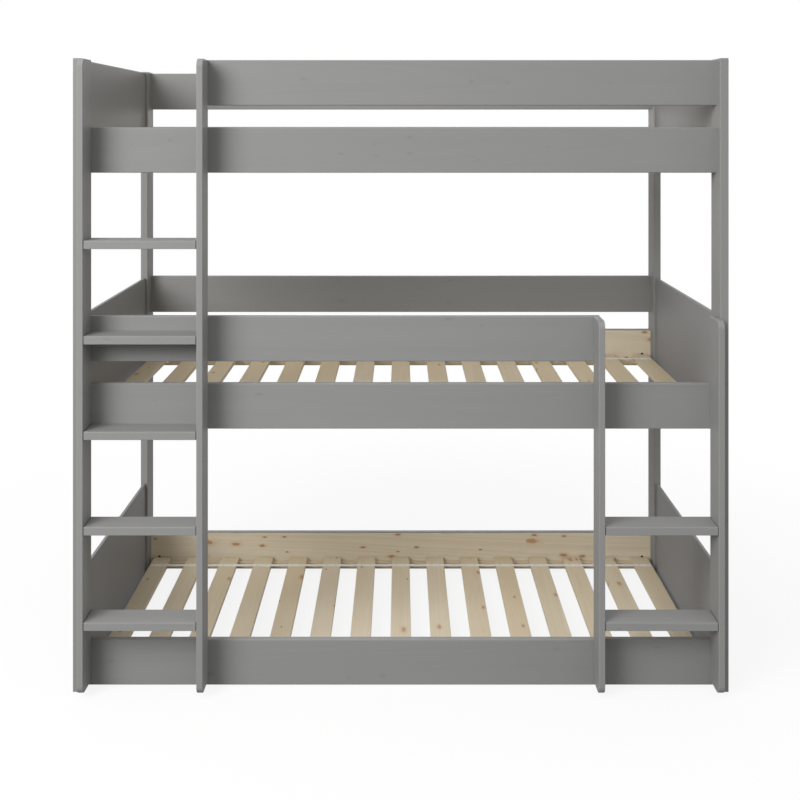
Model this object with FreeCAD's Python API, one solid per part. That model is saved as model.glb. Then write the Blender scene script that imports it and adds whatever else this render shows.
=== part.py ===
import FreeCAD, Part
import math
import os

# Three sleeping tiers stacked between four full-height posts.
# Millimetres, +Z up, front towards -Y, origin on the floor under the middle of the whole bed.

# Mattress and sleeping space
mattress_length = 2000.0
mattress_width = 900.0
mattress_end_play = 7.0
mattress_side_play = 7.0
tier_rise = 817.0
tiers = ("bottom", "middle", "top")
guarded_tiers = ("middle", "top")

# Posts
post_thickness = 28.0
post_depth = 100.0
post_head = 4.0
post_edge_radius = 3.0

# Rails and guard rails
rail_height = 145.0
rail_thickness = 22.0
rail_edge_radius = 3.0
front_rail_setback = 40.0
back_rail_setback = 19.0
lowest_rail_base = 2.0
guard_gap = 70.0

# End panels in stopped grooves
panel_thickness = 10.0
panel_edge_radius = 1.5
groove_depth = 12.0
groove_play = 0.3

# Ladders
stile_thickness = 20.0
stile_depth = 97.0
stile_floor_gap = 17.0
stile_corner_radius = 25.0
stile_edge_radius = 2.5
step_thickness = 26.0
step_setback = 1.0
step_edge_radius = 2.0
ladder_clear_width = 352.0
first_step_top = 243.0
step_rise = 296.5
tall_ladder_steps = 5
short_ladder_steps = 2

# Slat mats on ledgers
slat_count = 15
slat_width = 70.0
slat_thickness = 15.0
slat_edge_radius = 2.0
slat_end_play = 7.0
mat_end_gap = 13.0
ledger_width = 25.0
ledger_height = 24.0
ledger_lift = 7.0
ledger_end_gap = 12.0
ledger_edge_radius = 1.5
tape_width = 20.0
tape_thickness = 0.8
tape_inset = 81.0
tape_tail_share = 0.82
staple_crown = 10.0
staple_spread = 35.0
staple_wire = 0.9
staple_leg = 7.0

# Bolted corner joints
bolt_radius = 3.0
bolt_hole_play = 0.5
bolt_head_radius = 8.0
bolt_head_height = 3.0
bolt_socket_flats = 4.0
bolt_socket_depth_share = 0.7
bolt_rise = 46.0
bolt_tip = 6.0
bolt_tip_play = 2.0
thread_play = 0.1
nut_radius = 5.0
nut_recess = 4.0
nut_setback = 34.0
nut_hole_play = 0.15
dowel_radius = 4.0
dowel_drop = 46.0
dowel_rail_bite = 20.0
dowel_post_share = 0.5
dowel_play = 0.1
dowel_end_play = 1.0

# Step dowels
step_dowel_bite = 24.0
step_dowel_stile_share = 0.6
step_dowel_shares = (0.28, 0.72)

# Countersunk screws
ladder_screw_radius = 2.5
ladder_screw_head_radius = 5.0
ladder_screw_head_height = 3.0
ladder_screw_bite = 38.0
ledger_screw_radius = 2.0
ledger_screw_head_radius = 4.0
ledger_screw_head_height = 2.4
ledger_screw_bite_share = 0.6
ledger_screw_count = 7
ledger_screw_end = 60.0
screw_play = 0.1

# Cutting and rounding habits
overrun = 5.0
round_limit_share = 0.4
parallel_share = 0.01

# Places worked out from the sizes above
half_clear = mattress_length / 2 + mattress_end_play
half_width = half_clear + post_thickness
clear_width = mattress_width + 2 * mattress_side_play
stile_proud = stile_depth - front_rail_setback
frame_depth = front_rail_setback + clear_width + 2 * rail_thickness + back_rail_setback
overall_depth = stile_proud + frame_depth
stile_front = -overall_depth / 2
stile_rear = stile_front + stile_depth
post_front = stile_front + stile_proud
post_rear = post_front + frame_depth
front_rail_outer = stile_rear
front_rail_inner = front_rail_outer + rail_thickness
back_rail_inner = front_rail_inner + clear_width
back_rail_outer = back_rail_inner + rail_thickness
guard_lift = rail_height + guard_gap
tier_height = guard_lift + rail_height
tier_base = {tier: lowest_rail_base + tier_rise * i for i, tier in enumerate(tiers)}
post_height = tier_base[tiers[-1]] + tier_height + post_head
inner_stile_far = half_clear - stile_thickness - ladder_clear_width
inner_stile_near = inner_stile_far - stile_thickness
ledger_top_lift = ledger_lift + ledger_height
slat_length = clear_width - 2 * slat_end_play
nut_length = rail_thickness - 2 * nut_recess

X_AXIS = FreeCAD.Vector(1, 0, 0)
Y_AXIS = FreeCAD.Vector(0, 1, 0)


# Small makers
def place(x, y, z):
    return FreeCAD.Vector(x, y, z)


def box(low, high):
    return Part.makeBox(high[0] - low[0], high[1] - low[1], high[2] - low[2], place(*low))


def rod(radius, start, end):
    along = place(*end) - place(*start)
    return Part.makeCylinder(radius, along.Length, place(*start), along)


def runs_along(edge, axis):
    ends = edge.Vertexes
    along = ends[1].Point - ends[0].Point
    return along.cross(axis).Length < along.Length * parallel_share


def rounded(shape, radius, wall, edges):
    return shape.makeFillet(min(radius, wall * round_limit_share), edges)


def board_along(axis, low, high, radius):
    """A plain board with its long edges rounded."""
    plain = box(low, high)
    sides = [high[i] - low[i] for i in range(3)]
    return rounded(plain, radius, min(sides), [e for e in plain.Edges if runs_along(e, axis)])


def countersunk_screw(radius, head_radius, head_height, start, end, play):
    """A screw whose flat head lies at start; play widens it into the hole that takes it."""
    along = place(*end) - place(*start)
    shank = rod(radius + play, start, end)
    head = Part.makeCone(head_radius + play, radius + play, head_height, place(*start), along)
    return shank.fuse(head).removeSplitter()


def group(solids):
    return Part.makeCompound(solids)


def save(name, shape):
    shape.exportStep(os.path.join("parts", name + ".step"))
    print(name, len(shape.Solids), "solids", round(shape.Volume / 1000.0, 1), "cm3")


# Rails: where each one runs and which posts it is bolted to
def rail_list():
    rails = []
    for tier in tiers:
        base = tier_base[tier]
        rails.append(dict(name="front_rail_" + tier, row="front", base=base, nut_face="inner",
                          left=-half_clear, right=half_clear, bolted=(-1, 1)))
        rails.append(dict(name="back_rail_" + tier, row="back", base=base, nut_face="inner",
                          left=-half_clear, right=half_clear, bolted=(-1, 1)))
    for tier in guarded_tiers:
        rails.append(dict(name="back_guard_" + tier, row="back", base=tier_base[tier] + guard_lift,
                          nut_face="outer", left=-half_clear, right=half_clear, bolted=(-1, 1)))
    rails.append(dict(name="front_guard_middle", row="front", base=tier_base["middle"] + guard_lift,
                      nut_face="inner", left=-half_clear, right=inner_stile_far, bolted=(-1,)))
    rails.append(dict(name="front_guard_top", row="front", base=tier_base["top"] + guard_lift,
                      nut_face="inner", left=-inner_stile_far, right=half_clear, bolted=(1,)))
    return rails


def rail_faces(rail):
    """The rail's low and high Y, and the Y of its inner and outer face."""
    if rail["row"] == "front":
        return front_rail_outer, front_rail_inner, front_rail_inner, front_rail_outer
    return back_rail_inner, back_rail_outer, back_rail_inner, back_rail_outer


# Ladder stiles: side is the end of the bed, near and far bound the stile in X
def stile_list():
    tall_top = tier_base["top"] + tier_height
    short_top = tier_base["middle"] + tier_height
    outer = (half_clear - stile_thickness, half_clear)
    inner = (inner_stile_near, inner_stile_far)
    return [
        dict(name="tall_ladder_outer_stile", side=-1, span=outer, top=tall_top, steps=tall_ladder_steps),
        dict(name="tall_ladder_inner_stile", side=-1, span=inner, top=tall_top, steps=tall_ladder_steps),
        dict(name="short_ladder_inner_stile", side=1, span=inner, top=short_top, steps=short_ladder_steps),
        dict(name="short_ladder_outer_stile", side=1, span=outer, top=short_top, steps=short_ladder_steps),
    ]


def step_base(number):
    return first_step_top + step_rise * number - step_thickness


rails = rail_list()
stiles = stile_list()
post_cuts = {(side, row): [] for side in (-1, 1) for row in ("front", "back")}
rail_cuts = {rail["name"]: [] for rail in rails}
stile_cuts = {stile["name"]: [] for stile in stiles}
frame_bolts = []
barrel_nuts = []
rail_dowels = []
step_dowels = []
ladder_screws = []
ledger_screws = []


# Corner joint: a bolt through the post into a barrel nut in the rail, and one dowel
def hexagon(flats, start, depth, side):
    corner = flats / math.sqrt(3)
    turns = [math.pi / 3 * i for i in range(7)]
    x, y, z = start
    outline = [place(x, y + corner * math.cos(t), z + corner * math.sin(t)) for t in turns]
    return Part.Face(Part.makePolygon(outline)).extrude(X_AXIS * (-side * depth))


def corner_joint(rail, side):
    low_y, high_y, inner, outer = rail_faces(rail)
    middle = (low_y + high_y) / 2
    bolt_z = rail["base"] + bolt_rise
    dowel_z = rail["base"] + rail_height - dowel_drop
    seat = side * (half_width - bolt_head_height)
    tip = side * (half_clear - nut_setback - bolt_tip)
    nut_x = side * (half_clear - nut_setback)
    face_in = 1 if inner > outer else -1
    if rail["nut_face"] == "outer":
        face_in = -face_in
    mouth = middle + face_in * rail_thickness / 2
    nut_low = middle - nut_length / 2
    nut_high = middle + nut_length / 2
    nut_floor = nut_low if face_in > 0 else nut_high

    shank = rod(bolt_radius, (seat, middle, bolt_z), (tip, middle, bolt_z))
    head = rod(bolt_head_radius, (side * half_width, middle, bolt_z), (seat, middle, bolt_z))
    socket = hexagon(bolt_socket_flats, (side * half_width, middle, bolt_z),
                     bolt_head_height * bolt_socket_depth_share, side)
    frame_bolts.append(head.fuse(shank).removeSplitter().cut(socket))
    nut = rod(nut_radius, (nut_x, nut_low, bolt_z), (nut_x, nut_high, bolt_z))
    thread = rod(bolt_radius + thread_play, (nut_x - nut_radius - overrun, middle, bolt_z),
                 (nut_x + nut_radius + overrun, middle, bolt_z))
    barrel_nuts.append(nut.cut(thread))
    dowel_deep = post_thickness * dowel_post_share
    rail_dowels.append(rod(dowel_radius, (side * (half_clear + dowel_deep - dowel_end_play), middle, dowel_z),
                           (side * (half_clear - dowel_rail_bite + dowel_end_play), middle, dowel_z)))

    post = post_cuts[(side, rail["row"])]
    post.append(rod(bolt_radius + bolt_hole_play, (side * (half_width + overrun), middle, bolt_z),
                    (side * (half_clear - overrun), middle, bolt_z)))
    post.append(rod(bolt_head_radius + bolt_hole_play, (side * (half_width + overrun), middle, bolt_z),
                    (seat, middle, bolt_z)))
    post.append(rod(dowel_radius + dowel_play, (side * (half_clear - overrun), middle, dowel_z),
                    (side * (half_clear + dowel_deep), middle, dowel_z)))
    cuts = rail_cuts[rail["name"]]
    cuts.append(rod(bolt_radius + bolt_hole_play, (side * (half_clear + overrun), middle, bolt_z),
                    (tip - side * bolt_tip_play, middle, bolt_z)))
    cuts.append(rod(nut_radius + nut_hole_play, (nut_x, mouth + face_in * overrun, bolt_z),
                    (nut_x, nut_floor, bolt_z)))
    cuts.append(rod(dowel_radius + dowel_play, (side * (half_clear + overrun), middle, dowel_z),
                    (side * (half_clear - dowel_rail_bite), middle, dowel_z)))


for rail in rails:
    for side in rail["bolted"]:
        corner_joint(rail, side)


# Ladder screws: from inside the bed through each front rail into the back of the stile
def ladder_joint(rail, stile):
    middle = stile["side"] * sum(stile["span"]) / 2
    between = (bolt_rise + rail_height - dowel_drop) / 2
    above = rail_height - dowel_drop / 2
    for lift in (between, above):
        z = rail["base"] + lift
        start = (middle, front_rail_inner, z)
        end = (middle, stile_rear - ladder_screw_bite, z)
        size = (ladder_screw_radius, ladder_screw_head_radius, ladder_screw_head_height)
        ladder_screws.append(countersunk_screw(*size, start, end, 0))
        hole = countersunk_screw(*size, start, end, screw_play)
        rail_cuts[rail["name"]].append(hole)
        stile_cuts[stile["name"]].append(hole)


for stile in stiles:
    low_x = min(stile["side"] * x for x in stile["span"])
    high_x = max(stile["side"] * x for x in stile["span"])
    for rail in rails:
        crosses = rail["row"] == "front" and rail["left"] <= low_x and rail["right"] >= high_x
        if crosses and rail["base"] + rail_height <= stile["top"]:
            ladder_joint(rail, stile)


# Steps and the dowels at their ends
def step_joints(stile):
    span = [stile["side"] * x for x in stile["span"]]
    outer = stile["span"][1] == half_clear
    face = span[0] if outer else span[1]
    into_step = -stile["side"] if outer else stile["side"]
    depth = stile_depth - step_setback
    for number in range(stile["steps"]):
        z = step_base(number) + step_thickness / 2
        for share in step_dowel_shares:
            y = stile_front + step_setback + depth * share
            deep = face - into_step * stile_thickness * step_dowel_stile_share
            bite = face + into_step * step_dowel_bite
            play = into_step * dowel_end_play
            step_dowels.append(rod(dowel_radius, (deep + play, y, z), (bite - play, y, z)))
            hole = rod(dowel_radius + dowel_play, (deep, y, z), (bite, y, z))
            stile_cuts[stile["name"]].append(hole)
            step_cuts[(stile["side"], number)].append(hole)


step_cuts = {(s["side"], n): [] for s in stiles for n in range(s["steps"])}
for stile in stiles:
    step_joints(stile)


def make_step(side, number):
    near = side * inner_stile_far
    far = side * (half_clear - stile_thickness)
    low = (min(near, far), stile_front + step_setback, step_base(number))
    high = (max(near, far), stile_rear, step_base(number) + step_thickness)
    plain = box(low, high)
    return rounded(plain, step_edge_radius, step_thickness, plain.Edges).cut(step_cuts[(side, number)])


def make_stile(stile):
    """A board on edge; its two front corners are rounded off in the side view."""
    near = min(stile["side"] * x for x in stile["span"])
    corner = stile_corner_radius
    slack = corner * (1 - math.sqrt(0.5))
    low = stile_floor_gap
    high = stile["top"]
    front = stile_front
    points = [
        place(near, stile_rear, low), place(near, front + corner, low),
        place(near, front + slack, low + slack), place(near, front, low + corner),
        place(near, front, high - corner), place(near, front + slack, high - slack),
        place(near, front + corner, high), place(near, stile_rear, high),
    ]
    outline = Part.Wire([
        Part.LineSegment(points[0], points[1]).toShape(),
        Part.Arc(points[1], points[2], points[3]).toShape(),
        Part.LineSegment(points[3], points[4]).toShape(),
        Part.Arc(points[4], points[5], points[6]).toShape(),
        Part.LineSegment(points[6], points[7]).toShape(),
        Part.LineSegment(points[7], points[0]).toShape(),
    ])
    plain = Part.Face(outline).extrude(X_AXIS * stile_thickness)
    sides = [e for e in plain.Edges if not runs_along(e, X_AXIS)]
    return rounded(plain, stile_edge_radius, stile_thickness, sides).cut(stile_cuts[stile["name"]])


# End panels and the stopped grooves that hold them
def panel_box(side, base, play):
    middle = side * (half_clear + post_thickness / 2)
    half = panel_thickness / 2 + play
    reach = groove_depth - groove_play + play
    low = (middle - half, post_front + post_depth - reach, base - play)
    high = (middle + half, post_rear - post_depth + reach, base + tier_height + play)
    return low, high


for side in (-1, 1):
    for tier in tiers:
        groove = box(*panel_box(side, tier_base[tier], groove_play))
        post_cuts[(side, "front")].append(groove)
        post_cuts[(side, "back")].append(groove)


def make_post(side, row):
    near = min(side * half_clear, side * half_width)
    front = post_front if row == "front" else post_rear - post_depth
    plain = box((near, front, 0), (near + post_thickness, front + post_depth, post_height))
    floor_edges = [e for e in plain.Edges if e.BoundBox.ZMax < post_height / 2]
    worn = [e for e in plain.Edges if not any(e.isSame(f) for f in floor_edges)]
    return rounded(plain, post_edge_radius, post_thickness, worn).cut(post_cuts[(side, row)])


# Ledgers: screwed to the inside of the lower rails, with their screws
def make_ledger(tier, row):
    rail_name = row + "_rail_" + tier
    inner = front_rail_inner if row == "front" else back_rail_inner
    inward = 1 if row == "front" else -1
    free = inner + inward * ledger_width
    base = tier_base[tier] + ledger_lift
    half = half_clear - ledger_end_gap
    low = (-half, min(inner, free), base)
    high = (half, max(inner, free), base + ledger_height)
    ledger = board_along(X_AXIS, low, high, ledger_edge_radius)
    reach = half - ledger_screw_end
    spacing = 2 * reach / (ledger_screw_count - 1)
    holes = []
    for i in range(ledger_screw_count):
        x = -reach + spacing * i
        z = base + ledger_height / 2
        start = (x, free, z)
        end = (x, inner - inward * rail_thickness * ledger_screw_bite_share, z)
        size = (ledger_screw_radius, ledger_screw_head_radius, ledger_screw_head_height)
        ledger_screws.append(countersunk_screw(*size, start, end, 0))
        holes.append(countersunk_screw(*size, start, end, screw_play))
    rail_cuts[rail_name].extend(holes)
    return ledger.cut(holes)


# Slat mats: loose slats tied by two tapes, with two staples through each tape into every slat
def slat_places():
    reach = half_clear - mat_end_gap - slat_width / 2
    return [-reach + 2 * reach * i / (slat_count - 1) for i in range(slat_count)]


def make_slats(tier):
    base = tier_base[tier] + ledger_top_lift
    front = front_rail_inner + slat_end_play
    half = slat_width / 2
    slats = []
    for x in slat_places():
        low = (x - half, front, base)
        high = (x + half, front + slat_length, base + slat_thickness)
        slats.append(board_along(Y_AXIS, low, high, slat_edge_radius))
    return group(slats)


def tape_lines():
    front = front_rail_inner + slat_end_play
    return (front + tape_inset, front + slat_length - tape_inset)


def make_tapes(tier):
    base = tier_base[tier] + ledger_top_lift + slat_thickness
    xs = slat_places()
    tail = slat_width / 2 * tape_tail_share
    half = tape_width / 2
    return group([box((xs[0] - tail, y - half, base), (xs[-1] + tail, y + half, base + tape_thickness))
                  for y in tape_lines()])


def make_staples(tier):
    top = tier_base[tier] + ledger_top_lift + slat_thickness + tape_thickness
    half = staple_crown / 2
    wire = staple_wire / 2
    staples = []
    staple_places = [x + side * staple_spread / 2 for x in slat_places() for side in (-1, 1)]
    for y in tape_lines():
        for x in staple_places:
            crown = box((x - wire, y - half, top), (x + wire, y + half, top + staple_wire))
            legs = [box((x - wire, y + end, top - staple_leg), (x + wire, y + end + staple_wire, top))
                    for end in (-half, half - staple_wire)]
            staples.append(crown.fuse(legs).removeSplitter())
    return group(staples)


# Everything is made and written, one file for each piece or group of like pieces
os.makedirs("parts", exist_ok=True)
for tier in tiers:
    for row in ("front", "back"):
        save(row + "_ledger_" + tier, make_ledger(tier, row))
    save("slats_" + tier, make_slats(tier))
    save("slat_tapes_" + tier, make_tapes(tier))
    save("tape_staples_" + tier, make_staples(tier))
    for side, word in ((-1, "left"), (1, "right")):
        low, high = panel_box(side, tier_base[tier], 0)
        save(word + "_end_panel_" + tier, board_along(Y_AXIS, low, high, panel_edge_radius))

for rail in rails:
    low_y, high_y, inner, outer = rail_faces(rail)
    plain = board_along(X_AXIS, (rail["left"], low_y, rail["base"]),
                        (rail["right"], high_y, rail["base"] + rail_height), rail_edge_radius)
    save(rail["name"], plain.cut(rail_cuts[rail["name"]]))

for side, word in ((-1, "left"), (1, "right")):
    for row in ("front", "back"):
        save(row + "_" + word + "_post", make_post(side, row))

for stile in stiles:
    save(stile["name"], make_stile(stile))
for side, word, count in ((-1, "tall", tall_ladder_steps), (1, "short", short_ladder_steps)):
    for number in range(count):
        save(word + "_ladder_step_" + str(number + 1), make_step(side, number))

save("frame_bolts", group(frame_bolts))
save("barrel_nuts", group(barrel_nuts))
save("rail_dowels", group(rail_dowels))
save("step_dowels", group(step_dowels))
save("ladder_screws", group(ladder_screws))
save("ledger_screws", group(ledger_screws))
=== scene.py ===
# %% [markdown]
# # A three-tier bunk bed
# The bed's boards, slats and fastenings come in at their real size and place. What is left to do here is how
# they look: satin grey lacquer over pine, bare pine where a mattress hides the wood, woven tape, dull steel.
# Nothing is moved or resized, so each step below either paints a board or adds a piece that lies on one.

# %% Load the bed
import math

import bmesh
import bpy
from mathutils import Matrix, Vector


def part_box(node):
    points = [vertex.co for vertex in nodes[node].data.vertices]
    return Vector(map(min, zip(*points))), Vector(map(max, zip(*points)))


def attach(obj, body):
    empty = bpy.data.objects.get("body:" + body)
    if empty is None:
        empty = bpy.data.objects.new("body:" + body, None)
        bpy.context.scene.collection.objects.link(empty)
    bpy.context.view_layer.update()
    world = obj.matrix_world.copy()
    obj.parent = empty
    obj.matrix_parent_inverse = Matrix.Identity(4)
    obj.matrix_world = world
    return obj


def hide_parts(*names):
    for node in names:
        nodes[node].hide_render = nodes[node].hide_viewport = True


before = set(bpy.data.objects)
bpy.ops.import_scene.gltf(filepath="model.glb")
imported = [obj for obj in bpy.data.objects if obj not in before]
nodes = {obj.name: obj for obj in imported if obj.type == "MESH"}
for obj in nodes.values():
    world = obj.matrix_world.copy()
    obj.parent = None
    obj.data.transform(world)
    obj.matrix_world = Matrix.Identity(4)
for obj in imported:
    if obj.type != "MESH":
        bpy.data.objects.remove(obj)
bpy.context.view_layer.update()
tiers = ("bottom", "middle", "top")
print("pieces loaded:", len(nodes))

# %% [markdown]
# ## Camera
# The uprights in the photograph are exactly parallel, so its camera was level. Lines that run away from the
# viewer meet at one point high in the picture, which is where a level camera looks. A tilted camera could
# frame the bed as well, but its uprights would lean. The level camera is kept, and its lens is shifted down.

# %% Camera
picture_side = 800
meeting_column = 400.75
horizon_row = 125.0
camera_height = 1.7885
camera_distance = 3.448
lens_length = 50.0
sensor_side = 36.0

ladder_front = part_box("tall_ladder_outer_stile")[0][1]
camera_data = bpy.data.cameras.new("photo_camera")
camera_data.lens = lens_length
camera_data.sensor_width = sensor_side
camera_data.shift_x = (picture_side / 2 - meeting_column) / picture_side
camera_data.shift_y = (horizon_row - picture_side / 2) / picture_side
camera = bpy.data.objects.new("photo_camera", camera_data)
camera.location = (0, ladder_front - camera_distance, camera_height)
camera.rotation_euler = (math.pi / 2, 0, 0)
bpy.context.scene.collection.objects.link(camera)
bpy.context.scene.camera = camera
print("camera stands", round(-camera.location.y, 3), "m in front of the bed's middle")

# %% [markdown]
# ## Making and feeding nodes
# Every finish below is a tree of nodes. It could be wired by hand in the shader editor, but many boards need
# the same tree with other numbers. So one helper makes a node and feeds its sockets: a socket that is given
# another node's output gets a link, anything else is set. Three more read a place, split it and join it.

# %% Making and feeding nodes
def feed(tree, socket, value):
    if isinstance(value, bpy.types.NodeSocket):
        tree.links.new(value, socket)
    else:
        socket.default_value = value


def put(tree, kind, sockets=None, **settings):
    made = tree.nodes.new(kind)
    for name, value in settings.items():
        setattr(made, name, value)
    for name, value in (sockets or {}).items():
        feed(tree, made.inputs[name], value)
    return made


def object_place(tree):
    return put(tree, "ShaderNodeTexCoord").outputs["Object"]


def split(tree, vector):
    return put(tree, "ShaderNodeSeparateXYZ", {0: vector}).outputs


def joined(tree, *parts):
    return put(tree, "ShaderNodeCombineXYZ", dict(enumerate(parts))).outputs[0]


print("node makers ready")

# %% [markdown]
# ## Sums, fades and noise
# Wood and paint are mostly arithmetic: how far a point lies from something, and how much of one thing to lay
# over another. A hard limit would look cut with a knife, so limits are soft steps, called fades here. Noise
# stands for all that grows or is sprayed unevenly, and can be stretched along the grain.

# %% Sums, fades and noise
def calc(tree, operation, *values, clamp=False):
    made = put(tree, "ShaderNodeMath", dict(enumerate(values)), operation=operation, use_clamp=clamp)
    return made.outputs[0]


def add_share(tree, base, value, share):
    """The base with a share of a value added to it."""
    return calc(tree, "MULTIPLY_ADD", value, share, base)


def centred(tree, value):
    """A noise value, which lies round a half, moved to lie round nothing."""
    return calc(tree, "SUBTRACT", value, 0.5)


def vector_calc(tree, operation, *values):
    made = put(tree, "ShaderNodeVectorMath", dict(enumerate(values)), operation=operation)
    return made.outputs["Value" if operation in ("LENGTH", "DOT_PRODUCT") else "Vector"]


def fade(tree, value, low, high, out_low=0.0, out_high=1.0):
    sockets = {"Value": value, "From Min": low, "From Max": high, "To Min": out_low, "To Max": out_high}
    return put(tree, "ShaderNodeMapRange", sockets, interpolation_type="SMOOTHSTEP").outputs["Result"]


def noise(tree, point, scale, detail):
    """Soft noise at a point. A scale of three numbers stretches it along the axes."""
    if isinstance(scale, tuple):
        point, scale = vector_calc(tree, "MULTIPLY", point, scale), 1.0
    sockets = {"Vector": point, "Scale": scale, "Detail": detail}
    return put(tree, "ShaderNodeTexNoise", sockets).outputs[0]


def line_noise(tree, value, scale, detail):
    sockets = {"W": value, "Scale": scale, "Detail": detail}
    return put(tree, "ShaderNodeTexNoise", sockets, noise_dimensions="1D").outputs[0]


print("sums, fades and noise ready")

# %% [markdown]
# ## Colours, groups and materials
# Colours are easiest to judge as a picture shows them, from 0 to 255, but shaders reckon in linear light. One
# helper turns the first into the second. The others blend and shade colours, make a node group with named
# sockets, place it in a material, and hand its results to the material's surface.

# %% Colours, groups and materials
def screen_colour(red, green, blue):
    """A colour as a picture shows it, 0 to 255, turned into linear light by the standard screen curve."""
    def linear(part):
        share = part / 255
        return share / 12.92 if share <= 0.04045 else ((share + 0.055) / 1.055) ** 2.4
    return (linear(red), linear(green), linear(blue), 1.0)


def blend_colour(tree, amount, first, second):
    made = put(tree, "ShaderNodeMix", data_type="RGBA")
    for index, value in ((0, amount), (6, first), (7, second)):
        feed(tree, made.inputs[index], value)
    return made.outputs[2]


def shaded(tree, colour, shade):
    return vector_calc(tree, "MULTIPLY", colour, joined(tree, shade, shade, shade))


def new_group(name, inputs, outputs):
    tree = bpy.data.node_groups.new(name, "ShaderNodeTree")
    for label, kind in inputs:
        tree.interface.new_socket(name=label, in_out="INPUT", socket_type="NodeSocket" + kind)
    for label, kind in outputs:
        tree.interface.new_socket(name=label, in_out="OUTPUT", socket_type="NodeSocket" + kind)
    return tree, tree.nodes.new("NodeGroupInput").outputs, tree.nodes.new("NodeGroupOutput").inputs


def use_group(tree, group, sockets):
    return put(tree, "ShaderNodeGroup", sockets, node_tree=group).outputs


def new_material(name):
    material = bpy.data.materials.new(name)
    material.use_nodes = True
    tree = material.node_tree
    return material, tree, tree.nodes["Principled BSDF"]


def finish_surface(tree, shader, colour, roughness, height, depth):
    tree.links.new(colour, shader.inputs["Base Color"])
    tree.links.new(roughness, shader.inputs["Roughness"])
    bump = put(tree, "ShaderNodeBump", {"Height": height, "Distance": depth, "Strength": 1.0})
    tree.links.new(bump.outputs["Normal"], shader.inputs["Normal"])


print("colours, groups and materials ready")

# %% [markdown]
# ## Knots
# Branches leave knots in a board, which are oval spots: a thick live branch leaves a large red-brown one, a
# thin dead branch a small dark one. They could be drawn one by one, but a bed has hundreds. A grid of long
# cells with one random spot in each spreads them as loosely as a tree does, and chance says which cells have
# a knot at all. The first axis of a point runs along the grain, the second across the board's wide face.

# %% Knots
knot_cell_long = 0.11
knot_cell_wide = 0.046
knot_least = 0.0019
knot_spread = 0.0058
knot_stretch = 2.4
small_knot_power = 2.0
ragged_scale = (120.0, 260.0, 260.0)
ragged_least = 0.45
ragged_spread = 1.1
knot_rim = (1.15, 0.55)
halo_rim = (2.6, 0.8)


def pine_knots(tree, point, amount, size_share):
    """Masks of the knots and of the wood that bends round them, and how live each knot's branch was."""
    parts = split(tree, point)
    cells = joined(tree, calc(tree, "DIVIDE", parts[0], knot_cell_long),
                   calc(tree, "DIVIDE", parts[1], knot_cell_wide))
    spots = put(tree, "ShaderNodeTexVoronoi", {"Vector": cells, "Scale": 1.0, "Randomness": 1.0},
                voronoi_dimensions="2D", feature="F1").outputs
    spot = split(tree, spots["Position"])
    off_along = calc(tree, "SUBTRACT", parts[0], calc(tree, "MULTIPLY", spot[0], knot_cell_long))
    off_across = calc(tree, "SUBTRACT", parts[1], calc(tree, "MULTIPLY", spot[1], knot_cell_wide))
    squeezed = joined(tree, calc(tree, "DIVIDE", off_along, knot_stretch), off_across)
    away = vector_calc(tree, "LENGTH", squeezed)
    chance = put(tree, "ShaderNodeSeparateColor", {0: spots["Color"]}).outputs
    live = chance[1]
    size = add_share(tree, knot_least, calc(tree, "POWER", live, small_knot_power), knot_spread)
    size = calc(tree, "MULTIPLY", size, size_share)
    present = calc(tree, "LESS_THAN", chance[0], amount)
    ragged = add_share(tree, ragged_least, noise(tree, point, ragged_scale, detail=1.0), ragged_spread)
    inside = calc(tree, "MULTIPLY", calc(tree, "DIVIDE", away, size), ragged)
    knot = calc(tree, "MULTIPLY", fade(tree, inside, *knot_rim), present)
    halo = calc(tree, "MULTIPLY", fade(tree, inside, *halo_rim), present)
    return knot, halo, live


print("a cell for a knot, in mm:", knot_cell_long * 1000, "by", knot_cell_wide * 1000)

# %% [markdown]
# ## Yearly rings
# Pine shows pale early wood and darker late wood in yearly rings. A flat stripe texture would look printed.
# Here each board is a slice of a tree: the shader measures how far a point is from the tree's heart and turns
# that distance into rings. The face of a board then shows arches, and its end the curved rings they come
# from. No two years are alike: a slow noise along the years makes some rings wide and some narrow, some dark
# and some hardly there. The rings swell round each knot as they do in real wood.

# %% Yearly rings
ring_width = 0.0030
knot_swell = 0.0026
wander_scale = (0.8, 7.0, 7.0)
wander_reach = 0.008
weather_scale = 0.22
weather_years = 3.0
vigour_scale = 0.35
vigour_start = 400.0
vigour_span = (0.3, 0.7)
vigour_range = (0.15, 1.0)
late_rise = (0.25, 0.88)
late_fall = (1.0, 0.93)


def pine_rings(tree, point, lean, halo):
    """How much of the darker late wood shows at a point."""
    parts = split(tree, point)
    along, across, deep = parts[0], parts[1], parts[2]
    wobble = noise(tree, point, wander_scale, detail=2.0)
    wander = calc(tree, "MULTIPLY", centred(tree, wobble), wander_reach)
    cross = joined(tree, across, add_share(tree, deep, along, lean))
    reach = calc(tree, "ADD", vector_calc(tree, "LENGTH", cross), wander)
    reach = add_share(tree, reach, halo, knot_swell)
    years = calc(tree, "DIVIDE", reach, ring_width)
    weather = line_noise(tree, years, weather_scale, detail=1.0)
    vigour = line_noise(tree, calc(tree, "ADD", years, vigour_start), vigour_scale, detail=1.0)
    year = calc(tree, "FRACT", add_share(tree, years, weather, weather_years))
    late = calc(tree, "MULTIPLY", fade(tree, year, *late_rise), fade(tree, year, *late_fall))
    return calc(tree, "MULTIPLY", late, fade(tree, vigour, *vigour_span, *vigour_range))


print("a year's ring, in mm:", ring_width * 1000)

# %% [markdown]
# ## The pine figure
# Grey boards, bare rails and slats are all the same timber, so its figure is built once, as a node group. It
# puts out masks, not colours: each finish below decides how much of a ring or a knot it lets through. To the
# knots and rings it adds the fine fibres and the slow change of tone along a board.

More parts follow.
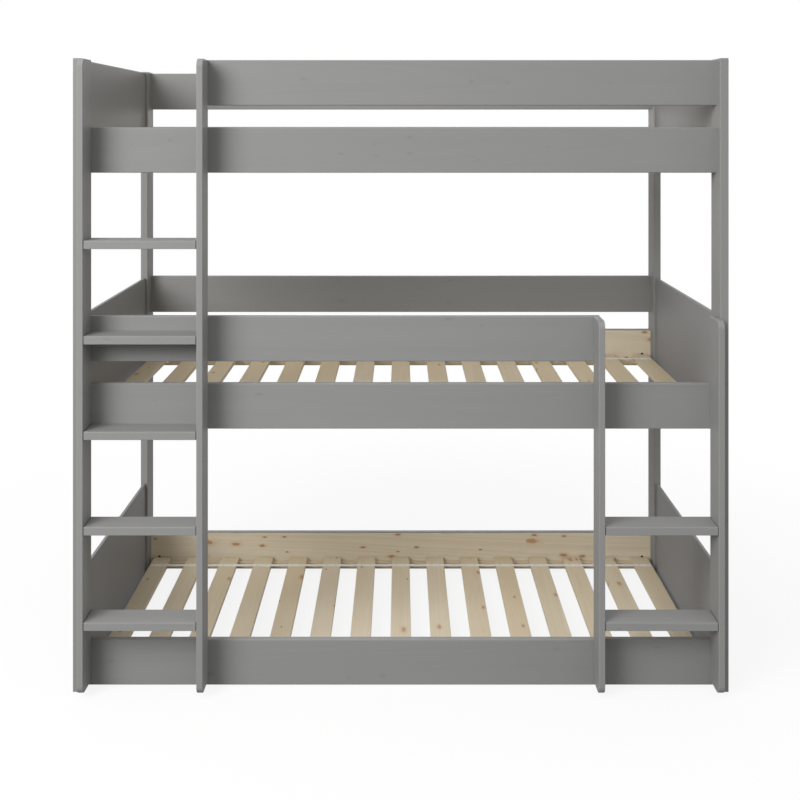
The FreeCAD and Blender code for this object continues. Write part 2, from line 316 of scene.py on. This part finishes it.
# %% Pine figure group
figure_parts = ("Late Wood", "Fibre", "Knot", "Halo", "Live", "Tone")
fibre_scale = (9.0, 750.0, 750.0)
tone_scale = (1.1, 22.0, 22.0)


def make_pine_figure():
    tree, given, result = new_group(
        "pine_figure",
        [("Point", "Vector"), ("Heart", "Vector"), ("Lean", "Float"), ("Knots", "Float"),
         ("Knot Size", "Float")],
        [(name, "Float") for name in figure_parts])
    point = vector_calc(tree, "ADD", given["Point"], given["Heart"])
    knot, halo, live = pine_knots(tree, point, given["Knots"], given["Knot Size"])
    late = pine_rings(tree, point, given["Lean"], halo)
    fibre = noise(tree, point, fibre_scale, detail=3.0)
    tone = noise(tree, point, tone_scale, detail=1.0)
    for name, value in zip(figure_parts, (late, fibre, knot, halo, live, tone)):
        tree.links.new(value, result[name])
    return tree


pine_figure = make_pine_figure()
print("pine figure has", len(pine_figure.nodes), "nodes")

# %% [markdown]
# ## Where a board's edges are
# Lacquer draws back from a corner, so it is smoother along every edge, and its colour is a touch paler there:
# partly for the thinner coat, partly as a painted highlight on the rounded edge. The shader could look for
# edges in the mesh, but a board is a box, and its sizes are known. For a point on the skin, one of the three
# distances to the box's faces is nothing. The middle one says how near the closest edge is.

# %% Edge nearness group
def make_edge_nearness():
    tree, given, result = new_group(
        "edge_nearness",
        [("Point", "Vector"), ("Centre", "Vector"), ("Half Size", "Vector"), ("Width", "Float")],
        [("Edge", "Float")])
    offset = vector_calc(tree, "SUBTRACT", given["Point"], given["Centre"])
    from_centre = vector_calc(tree, "ABSOLUTE", offset)
    depth = split(tree, vector_calc(tree, "SUBTRACT", given["Half Size"], from_centre))
    least = calc(tree, "MINIMUM", calc(tree, "MINIMUM", depth[0], depth[1]), depth[2])
    most = calc(tree, "MAXIMUM", calc(tree, "MAXIMUM", depth[0], depth[1]), depth[2])
    total = calc(tree, "ADD", calc(tree, "ADD", depth[0], depth[1]), depth[2])
    middle = calc(tree, "SUBTRACT", calc(tree, "SUBTRACT", total, least), most)
    nearness = calc(tree, "SUBTRACT", 1.0, calc(tree, "DIVIDE", middle, given["Width"]), clamp=True)
    tree.links.new(nearness, result["Edge"])
    return tree


edge_nearness = make_edge_nearness()
print("edge nearness has", len(edge_nearness.nodes), "nodes")

# %% [markdown]
# ## Grey lacquer
# The boards are pine under a satin grey coat. The coat hides the colour of the wood but not all of its form:
# in the photograph a few knots and streaks can be told through it. A plain grey would do from afar. Here the
# coat is built on the same pine figure, used very weakly, with the fine pebbled skin that a sprayer leaves.

# %% Sprayed skin group
coat_tone = 0.07
coat_late = -0.02
coat_fibre = 0.03
coat_cloud = 0.03
# how much paler the coat is along edges: partly thinner coat, partly painted highlight
coat_edge_pale_highlight = 0.06
coat_halo = 0.05
coat_knot = 0.16
coat_knot_brown = screen_colour(104, 98, 92)
coat_roughness = 0.56
coat_cloud_roughness = 0.10
coat_edge_roughness = -0.05
coat_late_relief = 0.20
coat_fibre_relief = 0.25
coat_knot_relief = -0.5
pebble_relief = 0.22
pebble_scale = 420.0
cloud_scale = 5.0


def make_sprayed_skin():
    tree, given, result = new_group(
        "sprayed_skin",
        [(name, "Float") for name in figure_parts]
        + [("Point", "Vector"), ("Edge", "Float"), ("Coat", "Color"), ("Show", "Float")],
        [("Color", "Color"), ("Roughness", "Float"), ("Height", "Float")])
    pebble = noise(tree, given["Point"], pebble_scale, detail=1.0)
    cloud = noise(tree, given["Point"], cloud_scale, detail=3.0)
    grain = calc(tree, "MULTIPLY", centred(tree, given["Tone"]), coat_tone)
    grain = add_share(tree, grain, given["Late Wood"], coat_late)
    grain = add_share(tree, grain, centred(tree, given["Fibre"]), coat_fibre)
    shade = add_share(tree, 1.0, grain, given["Show"])
    shade = add_share(tree, shade, centred(tree, cloud), coat_cloud)
    # paler along the edges: partly the thinner coat, partly a painted highlight
    edge_pale_highlight = calc(tree, "MULTIPLY", given["Edge"], given["Show"])
    shade = add_share(tree, shade, edge_pale_highlight, coat_edge_pale_highlight)
    stain = calc(tree, "MULTIPLY", given["Knot"], coat_knot)
    stain = calc(tree, "MULTIPLY", add_share(tree, stain, given["Halo"], coat_halo), given["Show"])
    colour = blend_colour(tree, stain, shaded(tree, given["Coat"], shade), coat_knot_brown)
    rough = add_share(tree, coat_roughness, cloud, coat_cloud_roughness)
    rough = add_share(tree, rough, given["Edge"], coat_edge_roughness)
    relief = calc(tree, "MULTIPLY", given["Fibre"], coat_fibre_relief)
    relief = add_share(tree, relief, given["Late Wood"], coat_late_relief)
    relief = add_share(tree, relief, given["Knot"], coat_knot_relief)
    height = add_share(tree, calc(tree, "MULTIPLY", pebble, pebble_relief), relief, given["Show"])
    tree.links.new(colour, result["Color"])
    tree.links.new(rough, result["Roughness"])
    tree.links.new(height, result["Height"])
    return tree


sprayed_skin = make_sprayed_skin()
print("sprayed skin has", len(sprayed_skin.nodes), "nodes")

# %% [markdown]
# ## Bare wood
# Where no coat was sprayed the pine shows its own colours: straw between the rings, light brown in the late
# wood, red-brown knots with warmer wood round them. A photograph of a plank could be laid on, but it would
# repeat from board to board. This group turns the figure into those colours instead, so that slats, ledgers
# and the unpainted faces of the rails are plainly the same timber.

# %% Bare pine group
straw_pale = screen_colour(222, 213, 194)
straw_deep = screen_colour(212, 199, 174)
honey = screen_colour(205, 182, 137)
late_brown = screen_colour(190, 158, 116)
halo_brown = screen_colour(190, 150, 106)
dead_branch = screen_colour(118, 81, 55)
live_branch = screen_colour(178, 124, 76)
honey_share = 0.5
late_share = 0.26
fibre_shade = 0.22
halo_share = 0.28
branch_cover = (0.9, 0.72)
pine_roughness = 0.52
pine_fibre_roughness = 0.14
pine_late_roughness = -0.08
pine_fibre_relief = 0.5
pine_late_relief = 0.5


def make_bare_pine():
    tree, given, result = new_group(
        "bare_pine",
        [(name, "Float") for name in figure_parts + ("Board",)],
        [("Color", "Color"), ("Roughness", "Float"), ("Height", "Float")])
    straw = blend_colour(tree, given["Tone"], straw_pale, straw_deep)
    board = blend_colour(tree, calc(tree, "MULTIPLY", given["Board"], honey_share), straw, honey)
    ringed = blend_colour(tree, calc(tree, "MULTIPLY", given["Late Wood"], late_share), board, late_brown)
    shade = add_share(tree, 1.0, centred(tree, given["Fibre"]), fibre_shade)
    fibred = shaded(tree, ringed, shade)
    warm = blend_colour(tree, calc(tree, "MULTIPLY", given["Halo"], halo_share), fibred, halo_brown)
    branch = blend_colour(tree, given["Live"], dead_branch, live_branch)
    cover = calc(tree, "MULTIPLY", given["Knot"], fade(tree, given["Live"], 0.0, 1.0, *branch_cover))
    rough = add_share(tree, pine_roughness, given["Fibre"], pine_fibre_roughness)
    rough = add_share(tree, rough, given["Late Wood"], pine_late_roughness)
    height = calc(tree, "MULTIPLY", given["Fibre"], pine_fibre_relief)
    height = add_share(tree, height, given["Late Wood"], pine_late_relief)
    tree.links.new(blend_colour(tree, cover, warm, branch), result["Color"])
    tree.links.new(rough, result["Roughness"])
    tree.links.new(height, result["Height"])
    return tree


bare_pine = make_bare_pine()
print("bare pine has", len(bare_pine.nodes), "nodes")

# %% [markdown]
# ## Turning the grain to each board
# The figure wants its first axis along the grain. Posts and stiles grow upwards, rails and steps run along
# the bed, slats and panels run from front to back. One small function swaps the axes. Each board could share
# one tree, but then marks would run on from board to board. So each gets its own place in its own tree,
# worked out from its number.

# %% Grain placing
golden_share = 0.618034
heart_span = 0.24
heart_depth = 0.06
heart_least = 0.4
figure_step = 3.7
grain_lean = 0.006
grain_orders = {"x": (0, 2, 1), "y": (1, 0, 2), "z": (2, 1, 0), "y_upright": (1, 2, 0)}


def along_grain(tree, place, grain):
    parts = split(tree, place)
    return joined(tree, *(parts[i] for i in grain_orders[grain]))


def board_heart(node, grain, number):
    """Where the tree's heart lies from the board: beside it and behind it, by another amount each time."""
    low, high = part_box(node)
    middle = [(low[i] + high[i]) / 2 for i in grain_orders[grain]]
    share = (number * golden_share) % 1
    other = (number * golden_share * golden_share) % 1
    return (number * figure_step - middle[0], (share - 0.5) * heart_span - middle[1],
            heart_depth * (heart_least + other) - middle[2])


def board_figure(tree, place, node, grain, number, knots, knot_size):
    return use_group(tree, pine_figure, {
        "Point": along_grain(tree, place, grain), "Heart": board_heart(node, grain, number),
        "Lean": grain_lean, "Knots": knots, "Knot Size": knot_size})


def box_middle_and_half(node):
    low, high = (Vector(corner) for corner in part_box(node))
    return (low + high) / 2, (high - low) / 2


print("grain runs:", ", ".join(grain_orders))

# %% [markdown]
# ## Lacquer on one board
# Posts, panels, guard rails, stiles and steps are coated all over. One material could serve them all, but the
# edge group needs each board's box and the figure its own heart. So one function makes a material for each.
# The thin end panels take the coat more evenly than solid pine: less grain shows, and the grey is cooler.

# %% Lacquer on one board
coat_grey = screen_colour(138, 138, 137)
panel_grey = screen_colour(138, 138, 139)
board_show = 1.0
panel_show = 0.35
lacquer_knots = 0.12
lacquer_knot_size = 0.8
lacquer_shine = 0.3
edge_width = 0.006
skin_bump = 0.00025


def lacquer_skin(tree, place, node, grain, number, coat, show):
    figure = board_figure(tree, place, node, grain, number, lacquer_knots, lacquer_knot_size)
    middle, half = box_middle_and_half(node)
    edge = use_group(tree, edge_nearness, {"Point": place, "Centre": middle, "Half Size": half,
                                           "Width": edge_width})["Edge"]
    skin_in = {name: figure[name] for name in figure_parts}
    skin_in.update({"Point": place, "Edge": edge, "Coat": coat, "Show": show})
    return use_group(tree, sprayed_skin, skin_in)


print("knots that show through the coat:", lacquer_knots, "of the cells")

# %% [markdown]
# ## Painted shade in the seams at the steps
# A fine dark seam shows at both ends of each step, in the groove where it meets a stile: it is painted shade.
# A thin strip of dark card would do for it, but a mask over the last few millimetres lies closer.

# %% Painted shade in the seams at the steps
seam_shade_reach = 0.0032
# the grey of the painted shade in the grooves at the steps' ends
seam_shade_grey = screen_colour(58, 57, 56)


def seam_shaded_colour(tree, node, place, colour):
    """Paint shade onto a step's colour at both of its ends, in the groove where it meets the stiles."""
    middle, half = box_middle_and_half(node)
    along = split(tree, place)[0]
    from_middle = calc(tree, "ABSOLUTE", calc(tree, "SUBTRACT", along, middle.x))
    # painted shade over the last few millimetres of each end
    groove_shade = fade(tree, from_middle, half.x - seam_shade_reach, half.x - seam_shade_reach / 2)
    return blend_colour(tree, groove_shade, colour, seam_shade_grey)


print("seams reach", seam_shade_reach * 1000, "mm in from the ends of the steps")

# %% [markdown]
# ## Coating the boards
# What is left is to list the coated boards with the way their grain runs, and to coat them one by one. Their
# place in the list is the number that picks each board's tree, so the list keeps its order.

# %% Coating the boards
def lacquered(node, grain, number):
    material, tree, shader = new_material("grey_lacquer_" + node)
    shader.inputs["Specular IOR Level"].default_value = lacquer_shine
    coat, show = (panel_grey, panel_show) if "panel" in node else (coat_grey, board_show)
    place = object_place(tree)
    skin = lacquer_skin(tree, place, node, grain, number, coat, show)
    # steps get painted shade at both ends, in the grooves where they meet the stiles
    colour = seam_shaded_colour(tree, node, place, skin["Color"]) if "step" in node else skin["Color"]
    finish_surface(tree, shader, colour, skin["Roughness"], skin["Height"], skin_bump)
    return material


def dress(node, material):
    slots = nodes[node].data.materials
    slots.clear()
    slots.append(material)


rows = ("front", "back")
sides = ("left", "right")
step_counts = {"tall": 5, "short": 2}
coated_boards = [(row + "_" + side + "_post", "z") for row in rows for side in sides]
coated_boards += [(side + "_end_panel_" + tier, "y_upright") for side in sides for tier in tiers]
coated_boards += [(row + "_guard_" + tier, "x") for row in rows for tier in tiers[1:]]
coated_boards += [(ladder + "_ladder_" + which + "_stile", "z")
                  for ladder in step_counts for which in ("outer", "inner")]
coated_boards += [(ladder + "_ladder_step_" + str(i + 1), "x")
                  for ladder, count in step_counts.items() for i in range(count)]
for number, (node, grain) in enumerate(coated_boards, start=1):
    dress(node, lacquered(node, grain, number))
print("coated boards:", len(coated_boards))

# %% [markdown]
# ## Rails with one bare face
# The lower rails are coated on the outside and along their edges only. The face towards the mattress was left
# as planed pine, and the coat ends in a slightly uneven line just below the rounded top edge. The face could
# get a material of its own, but its limit would then follow the mesh. A mask follows the line better: it is
# full where the point lies on the inner face and well within the rail's top and bottom edges.

# %% Half lacquered rails
bare_margin = 0.0032
bare_wander = 0.0016
bare_wander_scale = 60.0
face_depth = 0.0008
pine_bump = 0.0002
rail_knots = 0.46
rail_knot_size = 1.35


def bare_wood(tree, figure, board=0.0):
    """The colours of bare pine. The board's number, 0 to 1, says how much honey is in its straw."""
    wood_in = {name: figure[name] for name in figure_parts}
    wood_in["Board"] = board
    return use_group(tree, bare_pine, wood_in)


def bare_face_mask(tree, place, node, face):
    low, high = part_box(node)
    parts = split(tree, place)
    wave = noise(tree, place, bare_wander_scale, detail=2.0)
    height = add_share(tree, parts[2], centred(tree, wave), bare_wander)
    below_top = fade(tree, height, high[2] - bare_margin, high[2] - bare_margin - face_depth)
    above_base = fade(tree, height, low[2] + bare_margin, low[2] + bare_margin + face_depth)
    surface = high[1] if face == "rear" else low[1]
    inward = -1 if face == "rear" else 1
    on_face = fade(tree, parts[1], surface + inward * face_depth, surface + inward * face_depth / 4)
    return calc(tree, "MULTIPLY", on_face, calc(tree, "MULTIPLY", below_top, above_base))


def half_lacquered(node, face, number):
    material, tree, shader = new_material("half_lacquered_" + node)
    shader.inputs["Specular IOR Level"].default_value = lacquer_shine
    place = object_place(tree)
    skin = lacquer_skin(tree, place, node, "x", number, coat_grey, board_show)
    wood = bare_wood(tree, board_figure(tree, place, node, "x", number, rail_knots, rail_knot_size))
    mask = bare_face_mask(tree, place, node, face)
    colour = blend_colour(tree, mask, skin["Color"], wood["Color"])
    rough, height = (add_share(tree, skin[name], mask, calc(tree, "SUBTRACT", wood[name], skin[name]))
                     for name in ("Roughness", "Height"))
    finish_surface(tree, shader, colour, rough, height, pine_bump)
    return material


half_coated = [("front_rail_" + tier, "rear") for tier in tiers]
half_coated += [("back_rail_" + tier, "front") for tier in tiers]
for number, (node, face) in enumerate(half_coated, start=len(coated_boards) + 1):
    dress(node, half_lacquered(node, face, number))
print("rails with one bare face:", len(half_coated))

# %% [markdown]
# ## Slats
# A slat mat is many short boards in one piece. They must not look like one wide plank that was cut up.
# Fifteen materials could be dealt out to them, but one is enough: the shader first finds which slat a point
# is on, and gives that slat its own heart, tone and knots.

# %% Slats
slat_count = 15
slat_width = 0.070
slat_knots = 0.19
slat_knot_size = 1.15
slat_honey = (0.45, 1.0)
slat_heart_span = 0.16
slat_heart_depth = 0.06
slat_heart_least = 0.012
slat_figure_step = 2.3
mat_luck_step = 40.0


def slat_pitch(node):
    low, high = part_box(node)
    return (high[0] - low[0] - slat_width) / (slat_count - 1)


def slat_pine(node, number):
    material, tree, shader = new_material("slat_pine_" + node)
    place = object_place(tree)
    pitch = slat_pitch(node)
    which = calc(tree, "ROUND", calc(tree, "DIVIDE", split(tree, place)[0], pitch))
    luck = put(tree, "ShaderNodeTexWhiteNoise", {"W": calc(tree, "ADD", which, number * mat_luck_step)},
               noise_dimensions="1D").outputs
    shares = put(tree, "ShaderNodeSeparateColor", {0: luck["Color"]}).outputs
    ahead = calc(tree, "MULTIPLY", calc(tree, "ADD", which, shares[2]), slat_figure_step)
    beside = add_share(tree, calc(tree, "MULTIPLY", which, -pitch), centred(tree, shares[0]), slat_heart_span)
    behind = add_share(tree, slat_heart_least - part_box(node)[0][2], shares[1], slat_heart_depth)
    figure = use_group(tree, pine_figure, {
        "Point": along_grain(tree, place, "y"), "Heart": joined(tree, ahead, beside, behind),
        "Lean": grain_lean, "Knots": slat_knots, "Knot Size": slat_knot_size})
    wood = bare_wood(tree, figure, fade(tree, luck["Value"], 0.0, 1.0, *slat_honey))
    finish_surface(tree, shader, wood["Color"], wood["Roughness"], wood["Height"], pine_bump)
    return material


for number, tier in enumerate(tiers, start=1):
    dress("slats_" + tier, slat_pine("slats_" + tier, number))
print("slats dressed:", slat_count * len(tiers))

# %% [markdown]
# ## Ledgers
# The slats lie on ledgers, which are plain battens screwed to the rails. Little of them shows, and a flat
# colour might pass, but they are seen between the slats. So they are cut from the same pine, with the grain
# along them.

# %% Ledgers
first_ledger_number = 60


def ledger_pine(node, number):
    material, tree, shader = new_material("ledger_pine_" + node)
    figure = board_figure(tree, object_place(tree), node, "x", number, slat_knots, slat_knot_size)
    wood = bare_wood(tree, figure, (number * golden_share) % 1)
    finish_surface(tree, shader, wood["Color"], wood["Roughness"], wood["Height"], pine_bump)
    return material


ledgers = [row + "_ledger_" + tier for tier in tiers for row in rows]
for number, node in enumerate(ledgers, start=first_ledger_number):
    dress(node, ledger_pine(node, number))
print("ledgers dressed:", len(ledgers))

# %% [markdown]
# ## Steel and beech
# Bolts, screws and staples are zinc plated steel: bright, but with a cloudy, slightly yellow skin. The barrel
# nuts look almost black in their holes, so their steel is made near black, which paints in the shade of those
# holes. A picture of metal could be wrapped round each, but they are a few millimetres across, and a noise at
# the scale of the plating does it. The dowels are beech, whose wood has short dark flecks, and stay hidden in
# the joints.

# %% Steel and beech
plating_scale = 260.0
plating_fine_scale = 2400.0
plating_bump = 0.00003
noise_span = (0.3, 0.7)
fleck_scale = (60.0, 900.0, 900.0)
beech_pale = screen_colour(206, 170, 128)
beech_fleck = screen_colour(176, 134, 92)
beech_roughness = (0.5, 0.65)
beech_bump = 0.0001


def plated_steel(name, colour, cloud_colour, roughness):
    material, tree, shader = new_material(name)
    place = object_place(tree)
    cloud = noise(tree, place, plating_scale, detail=3.0)
    fine = noise(tree, place, plating_fine_scale, detail=1.0)
    shader.inputs["Metallic"].default_value = 1.0
    rough = fade(tree, cloud, *noise_span, *roughness)
    finish_surface(tree, shader, blend_colour(tree, cloud, colour, cloud_colour), rough, fine, plating_bump)
    return material


def turned_beech():
    material, tree, shader = new_material("beech_dowels")
    flecks = noise(tree, along_grain(tree, object_place(tree), "x"), fleck_scale, detail=2.0)
    colour = blend_colour(tree, flecks, beech_pale, beech_fleck)
    rough = fade(tree, flecks, *noise_span, *beech_roughness)
    finish_surface(tree, shader, colour, rough, flecks, beech_bump)
    return material


zinc = plated_steel("zinc_plate", screen_colour(206, 206, 204), screen_colour(176, 172, 160), (0.26, 0.42))
wire = plated_steel("staple_steel", screen_colour(150, 148, 144), screen_colour(120, 117, 110), (0.34, 0.5))
# near black: painted shade of the holes the barrel nuts sit in
nut_hole_shade = plated_steel("near_black_nut_hole_shade", screen_colour(52, 50, 48), screen_colour(34, 33, 32), (0.45, 0.6))
beech = turned_beech()
fastenings = {"frame_bolts": zinc, "ladder_screws": zinc, "ledger_screws": zinc, "barrel_nuts": nut_hole_shade,
              "rail_dowels": beech, "step_dowels": beech}
fastenings.update({"tape_staples_" + tier: wire for tier in tiers})
for node, material in fastenings.items():
    dress(node, material)
print("fastenings dressed:", len(fastenings))

# %% [markdown]
# ## The weave of the tapes
# Two narrow tapes run over the slats of each bed and keep them apart. They are woven from thick pale yarn.
# The threads could be modelled one by one, but each is a millimetre wide and a tape has thousands. So the
# weave is a pattern of crossing waves in its real size, with a little bump, painted shade in the gaps between
# the threads, upper threads painted lighter than lower ones, and some dirt that dulls it unevenly.

# %% The weave of the tapes
tape_width = 0.020
thread_pitch = 0.0011
# one yarn in two tones: painted shade on the lower threads, painted light on the upper ones
yarn_under_shaded = screen_colour(236, 235, 231)
yarn_over_lit = screen_colour(246, 246, 243)
# painted shade in the gaps between the threads
thread_gap_shade = screen_colour(216, 214, 208)
thread_rise = (0.0, 0.5)
dirt_colour = screen_colour(222, 219, 211)
dirt_share = 0.2
dirt_scale = 35.0
dirt_span = (0.2, 0.8)
weave_roughness = (0.75, 0.92)
weave_bump = 0.0002
weave_sheen = 0.15


def weave_material():
    material, tree, shader = new_material("woven_tape")
    place = object_place(tree)
    parts = split(tree, place)
    turn = math.tau / thread_pitch / 2
    warp = calc(tree, "SINE", calc(tree, "MULTIPLY", parts[1], turn))
    weft = calc(tree, "SINE", calc(tree, "MULTIPLY", parts[0], turn))
    crossing = fade(tree, calc(tree, "MULTIPLY", warp, weft), -1.0, 1.0)
    ridge = calc(tree, "MULTIPLY", calc(tree, "ABSOLUTE", warp), calc(tree, "ABSOLUTE", weft))
    dirt = noise(tree, place, dirt_scale, detail=3.0)
    # painted light and shade of the weave: upper threads lighter, gaps darker
    yarn = blend_colour(tree, crossing, yarn_under_shaded, yarn_over_lit)
    woven_with_painted_shade = blend_colour(tree, fade(tree, ridge, *thread_rise), thread_gap_shade, yarn)
    colour = blend_colour(tree, calc(tree, "MULTIPLY", dirt, dirt_share), woven_with_painted_shade, dirt_colour)
    rough = fade(tree, dirt, *dirt_span, *weave_roughness)
    finish_surface(tree, shader, colour, rough, ridge, weave_bump)
    shader.inputs["Sheen Weight"].default_value = weave_sheen
    return material


tape_weave = weave_material()
print("threads in a tape's width:", round(tape_width / thread_pitch))

# %% [markdown]
# ## The shape of a tape
# A tape is a flat strip: it lies on each slat where a staple holds it, and hangs a little in the gaps. A
# cloth simulation could drape it, but the sag is under a millimetre and its form is known. So the strip
# starts as a grid with enough columns to bend at every slat, each column is lowered by the sag at its place,
# and the strip then gets its thickness.

# %% The shape of a tape
tape_sag = 0.0008
tape_columns_per_gap = 12
tape_rows = 4


def make_tape(name, tier, low, high):
    length, width, thickness = (high[i] - low[i] for i in range(3))
    pitch = slat_pitch("slats_" + tier)
    shape = bmesh.new()
    bmesh.ops.create_grid(shape, x_segments=tape_columns_per_gap * slat_count, y_segments=tape_rows, size=0.5)
    bmesh.ops.scale(shape, vec=(length, width, 1), verts=shape.verts)
    middle = ((low[0] + high[0]) / 2, (low[1] + high[1]) / 2, low[2])
    bmesh.ops.translate(shape, vec=middle, verts=shape.verts)
    half_gap = (pitch - slat_width) / 2
    for point in shape.verts:
        from_slat = abs(point.co.x - pitch * round(point.co.x / pitch)) - slat_width / 2
        share = max(0.0, from_slat) / half_gap
        point.co.z -= tape_sag * math.sin(share * math.pi / 2) ** 2
    bmesh.ops.recalc_face_normals(shape, faces=shape.faces)
    if sum(face.normal.z for face in shape.faces) < 0:
        bmesh.ops.reverse_faces(shape, faces=shape.faces)
    bmesh.ops.solidify(shape, geom=shape.faces[:], thickness=-thickness)
    bmesh.ops.recalc_face_normals(shape, faces=shape.faces)
    mesh = bpy.data.meshes.new(name)
    shape.to_mesh(mesh)
    shape.free()
    tape = bpy.data.objects.new(name, mesh)
    bpy.context.scene.collection.objects.link(tape)
    return tape, (width, length)


print("a tape hangs", tape_sag * 1000, "mm between the slats")

# %% [markdown]
# ## Laying the tapes
# The solids hold both tapes of a bed as straight strips, one at the front and one at the back of the mat.
# Those strips could be kept, but they neither sag nor show a weave. So each new tape takes the place of its
# strip and moves with its mat.

# %% Laying the tapes
for tier in tiers:
    low, high = (Vector(corner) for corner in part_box("slat_tapes_" + tier))
    runs = {"front": (low.y, low.y + tape_width), "back": (high.y - tape_width, high.y)}
    for row, (start, end) in runs.items():
        tape, flat = make_tape("woven_tape_" + row + "_" + tier, tier, Vector((low.x, start, low.z)),
                               Vector((high.x, end, high.z)))
        tape.data.materials.append(tape_weave)
        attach(tape, "slat_mat_" + tier)
        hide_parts("slat_tapes_" + tier)
print("tapes made:", 2 * len(tiers))

# %% [markdown]
# ## Floor
# The photograph shows the bed on pure white. A white floor would do, but the gaps between the slats would
# then show its shaded side. So for the camera, and for what mirrors or clear things see, most of the floor's
# look is plain white, and the rest is real floor that takes the bed's soft shadow. For light that bounces,
# the floor is much darker: the undersides of steps and rails are dark in the photograph.

# %% Floor
floor_side = 60.0
floor_white_share = 0.86
floor_tone = 0.9
floor_bounce = 0.2
shadow_reach = (1.3, 3.0)
plain_white = (1.0, 1.0, 1.0, 1.0)


def seen_directly(tree):
    path = put(tree, "ShaderNodeLightPath").outputs
    seen = calc(tree, "MAXIMUM", path["Is Camera Ray"], path["Is Glossy Ray"])
    return calc(tree, "MAXIMUM", seen, path["Is Transmission Ray"])


def pale_floor():
    material, tree, _ = new_material("pale_floor")
    tree.nodes.clear()
    seen = seen_directly(tree)
    tone = add_share(tree, floor_bounce, seen, floor_tone - floor_bounce)
    plain = put(tree, "ShaderNodeBsdfDiffuse", {"Color": tone}).outputs[0]
    white = put(tree, "ShaderNodeEmission", {"Color": plain_white, "Strength": 1.0}).outputs[0]
    away = vector_calc(tree, "LENGTH", object_place(tree))
    share = fade(tree, away, *shadow_reach, floor_white_share, 1.0)
    amount = calc(tree, "MULTIPLY", seen, share)
    mixed = put(tree, "ShaderNodeMixShader", {0: amount, 1: plain, 2: white}).outputs[0]
    put(tree, "ShaderNodeOutputMaterial", {"Surface": mixed})
    return material


def make_floor():
    shape = bmesh.new()
    bmesh.ops.create_grid(shape, x_segments=1, y_segments=1, size=floor_side / 2)
    mesh = bpy.data.meshes.new("floor")
    shape.to_mesh(mesh)
    shape.free()
    mesh.materials.append(pale_floor())
    floor = bpy.data.objects.new("floor", mesh)
    bpy.context.scene.collection.objects.link(floor)


make_floor()
print("floor side in metres:", floor_side)

# %% [markdown]
# ## Sky
# The sky is white for the camera in the same way. For the light it sheds, one even grey would be simplest,
# but in the photograph upper faces are brighter than undersides, also where a rail stands right behind a
# step. So the sky is dim at the horizon, and its brightest part leans from overhead to the front. It is a
# little brighter behind, so that the back of the bed can be seen when it is turned round.

# %% Sky
sky_low = 0.03
sky_high = 0.96
sky_lean = math.radians(22.3)
sky_behind = 0.15
rear_span = (-0.1, 0.6)


def make_sky():
    world = bpy.data.worlds.new("even_sky")
    world.use_nodes = True
    tree = world.node_tree
    tree.nodes.clear()
    towards = put(tree, "ShaderNodeTexCoord").outputs["Generated"]
    brightest = (0.0, -math.sin(sky_lean), math.cos(sky_lean))
    height = vector_calc(tree, "DOT_PRODUCT", towards, brightest)
    overhead = fade(tree, height, 0.0, 1.0, sky_low, sky_high)
    behind = fade(tree, split(tree, towards)[1], *rear_span, 0.0, sky_behind)
    strength = calc(tree, "MAXIMUM", calc(tree, "ADD", overhead, behind), seen_directly(tree))
    light = put(tree, "ShaderNodeBackground", {"Color": plain_white, "Strength": strength}).outputs[0]
    put(tree, "ShaderNodeOutputWorld", {"Surface": light})
    bpy.context.scene.world = world


make_sky()
print("sky leans", round(math.degrees(sky_lean), 1), "degrees to the front")

# %% [markdown]
# ## Lamps
# The shading in the photograph tells where its light came from. Soft shadows lie to the right of the ladders'
# stiles, so the key is a large lamp at the front left. The right sides of the stiles are not black, so a weak
# lamp stands far to the right, where it grazes the front. The last lamp is for the back of the bed. It could
# stand close, but then it would also light the posts' inner sides, which are dark in the photograph. So it
# stands far behind.

# %% Lamps
lamps = {
    "key_lamp": {"place": (-3.8, -4.9, 4.0), "aim": (0.0, -0.3, 1.0), "width": 4.0, "power": 370.0},
    "side_lamp": {"place": (6.6, -2.1, 1.3), "aim": (0.0, -0.3, 1.0), "width": 2.5, "power": 62.0},
    "back_lamp": {"place": (0.0, 28.0, 4.2), "aim": (0.0, 0.0, 1.0), "width": 7.0, "power": 1700.0},
}


def make_lamp(name, place, aim, width, power):
    lamp_data = bpy.data.lights.new(name, "AREA")
    lamp_data.shape = "DISK"
    lamp_data.size = width
    lamp_data.energy = power
    lamp = bpy.data.objects.new(name, lamp_data)
    lamp.location = place
    lamp.rotation_euler = (Vector(aim) - Vector(place)).to_track_quat("-Z", "Y").to_euler()
    bpy.context.scene.collection.objects.link(lamp)


for name, settings in lamps.items():
    make_lamp(name, **settings)
bpy.context.scene.view_settings.view_transform = "Standard"
print("lamps:", ", ".join(lamps))
